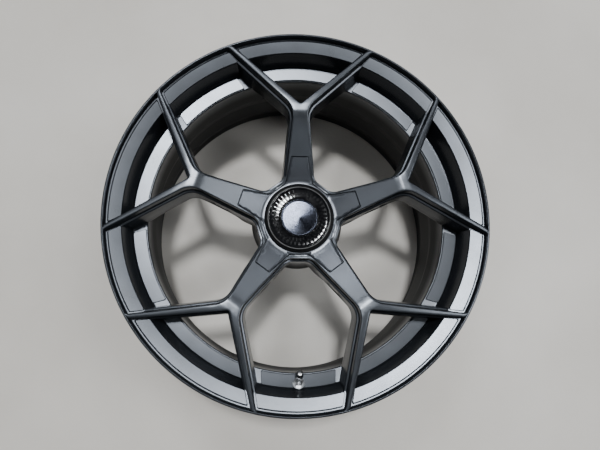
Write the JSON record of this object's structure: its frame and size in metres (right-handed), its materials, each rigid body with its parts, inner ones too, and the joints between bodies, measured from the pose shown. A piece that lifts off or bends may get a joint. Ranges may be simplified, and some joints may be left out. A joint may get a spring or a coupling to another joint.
{
  "type": "forged car wheel",
  "caption": "Forged wheel with Y-shaped spokes, a pocketed lip, a star-shaped lug cover under a knurled lock ring with a badge, and a metal clamp-in valve.",
  "frame": {"origin": "centre of the rear flange's resting plane, on the wheel's axis", "axes": "+Z along the wheel's axis towards the face, +Y towards the middle of spoke_1, the valve lies towards -Y"},
  "size_m": [0.5224, 0.5224, 0.2434],
  "materials": {
    "forging": "satin graphite powder coat over forged aluminium",
    "cover": "satin graphite coat",
    "black_anodised": "black anodised, semi-gloss",
    "gloss_black": "gloss black lacquer",
    "spun_aluminium": "spun, clear lacquered",
    "turned_aluminium": "machined",
    "valve_steel": "nickel plated",
    "screw_steel": "zinc plated",
    "brass": "turned",
    "rubber": "moulded",
    "clip_plastic": "moulded"
  },
  "bodies": {
    "wheel": {"rim_front": "forging", "rim_barrel": "forging", "rim_rear": "forging", "spoke_1": "forging", "spoke_2": "forging", "spoke_3": "forging", "spoke_4": "forging", "spoke_5": "forging", "hub_centre": "forging", "valve_stem": "turned_aluminium", "valve_grommet": "rubber", "valve_washer": "turned_aluminium", "valve_nut": "valve_steel", "valve_core": "brass", "valve_core_spring": "screw_steel"},
    "core_pin": {"valve_core_pin": "brass", "valve_core_seal": "rubber"},
    "cap_seal": {"valve_cap_seal": "rubber"},
    "cap": {"valve_cap": "valve_steel"},
    "cover": {"lug_cover": "cover", "cover_gasket": "rubber", "cover_clips": "clip_plastic", "threaded_bush": "turned_aluminium", "bush_screws": "screw_steel"},
    "collar": {"lock_collar": "black_anodised"},
    "ring": {"lock_ring": "gloss_black", "lock_ring_seal": "rubber"},
    "badge": {"badge_carrier": "clip_plastic", "badge_disc": "spun_aluminium", "badge_wire_ring": "screw_steel"}
  },
  "joints": [
    {"name": "cover_lift", "type": "slide", "parent": "wheel", "child": "cover", "axis": [0, 0, 1], "range_m": [0, 0.04]},
    {"name": "collar_lift", "type": "slide", "parent": "cover", "child": "collar", "axis": [0, 0, 1], "range_m": [0, 0.01201]},
    {"name": "ring_turn", "type": "hinge", "parent": "collar", "child": "ring", "pos_m": [0, 0, 0.2094], "axis": [0, 0, 1], "range_deg": [0, 1440]},
    {"name": "badge_pull", "type": "slide", "parent": "ring", "child": "badge", "axis": [0, 0, 1], "range_m": [0, 0.015]},
    {"name": "cap_lift", "type": "slide", "parent": "wheel", "child": "cap_seal", "axis": [0, 0.5299, 0.848], "range_m": [0, 0.004]},
    {"name": "cap_turn", "type": "hinge", "parent": "cap_seal", "child": "cap", "pos_m": [0, -0.226, 0.19612], "axis": [0, 0.5299, 0.848], "range_deg": [0, 1804]},
    {"name": "core_press", "type": "slide", "parent": "wheel", "child": "core_pin", "axis": [0, -0.5299, -0.848], "range_m": [0, 0.0015], "stiffness_N_per_m": 900, "springref_m": -0.003, "deforming": ["valve_core_spring"]}
  ],
  "couplings": [
    {"joint": "collar_lift", "follows": "ring_turn", "m_per_rad": 0.00047746},
    {"joint": "cap_turn", "follows": "cap_lift", "rad_per_m": 7854}
  ]
}
